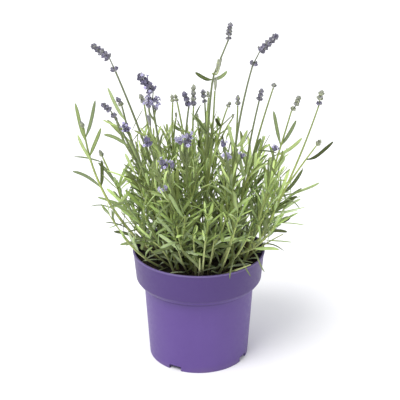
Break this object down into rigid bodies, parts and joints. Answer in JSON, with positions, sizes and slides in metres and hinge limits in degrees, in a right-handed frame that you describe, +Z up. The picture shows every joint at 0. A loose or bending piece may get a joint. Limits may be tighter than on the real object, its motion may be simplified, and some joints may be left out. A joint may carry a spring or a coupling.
{
  "type": "potted lavender",
  "caption": "Bushy lavender with narrow grey-green leaves and purple flower spikes on thin stems, growing in a round tapered plastic nursery pot with a deep collar.",
  "frame": {"origin": "centre of the pot's central foot, in the plane that the pot stands on", "axes": "+Z up along the pot's axis, +X to the right and -Y towards the viewer, as seen from the front"},
  "size_m": [0.253, 0.1917, 0.334],
  "materials": {
    "pot_plastic": "smooth moulded plastic with a soft satin sheen",
    "soil": "dark brown crumbly potting soil with bark fibre",
    "foliage": "matte grey-green leaves with a fine felt of hairs, and yellow-green stems",
    "flower": "grey-violet ribbed calyces with small blue-violet petals, green-grey in the buds"
  },
  "bodies": {
    "root": {"pot": "pot_plastic", "soil": "soil", "stem_tall_left": "foliage", "stem_left_spike": "foliage", "stem_left_bud": "foliage", "stem_pale_bud": "foliage", "stem_big_bloom": "foliage", "stem_low_left_bloom": "foliage", "stem_thin_bud_a": "foliage", "stem_thin_bud_b": "foliage", "stem_middle_spike": "foliage", "stem_green_spike": "foliage", "stem_middle_bud": "foliage", "stem_far_bud": "foliage", "stem_top_spike": "foliage", "stem_tall_right": "foliage", "stem_small_bud": "foliage", "stem_right_bud_a": "foliage", "stem_right_spike": "foliage", "stem_right_bud_b": "foliage", "stem_right_head": "foliage", "stem_far_right_head": "foliage", "stem_right_low_bud": "foliage", "stem_left_branch": "foliage", "stem_left_low_bud": "foliage", "stem_near_bloom_a": "foliage", "stem_near_bloom_b": "foliage", "stem_near_bloom_c": "foliage", "stem_near_bloom_d": "foliage", "stem_right_near": "foliage", "spike_tall_left": "flower", "spike_left_spike": "flower", "spike_left_bud": "flower", "spike_pale_bud": "flower", "spike_big_bloom": "flower", "spike_low_left_bloom": "flower", "spike_thin_bud_a": "flower", "spike_thin_bud_b": "flower", "spike_middle_spike": "flower", "spike_green_spike": "flower", "spike_middle_bud": "flower", "spike_far_bud": "flower", "spike_top_spike": "flower", "spike_tall_right": "flower", "spike_small_bud": "flower", "spike_right_bud_a": "flower", "spike_right_spike": "flower", "spike_right_bud_b": "flower", "spike_right_head": "flower", "spike_far_right_head": "flower", "spike_right_low_bud": "flower", "spike_left_branch": "flower", "spike_left_low_bud": "flower", "spike_near_bloom_a": "flower", "spike_near_bloom_b": "flower", "spike_near_bloom_c": "flower", "spike_near_bloom_d": "flower", "spike_right_near": "flower"}
  },
  "joints": []
}
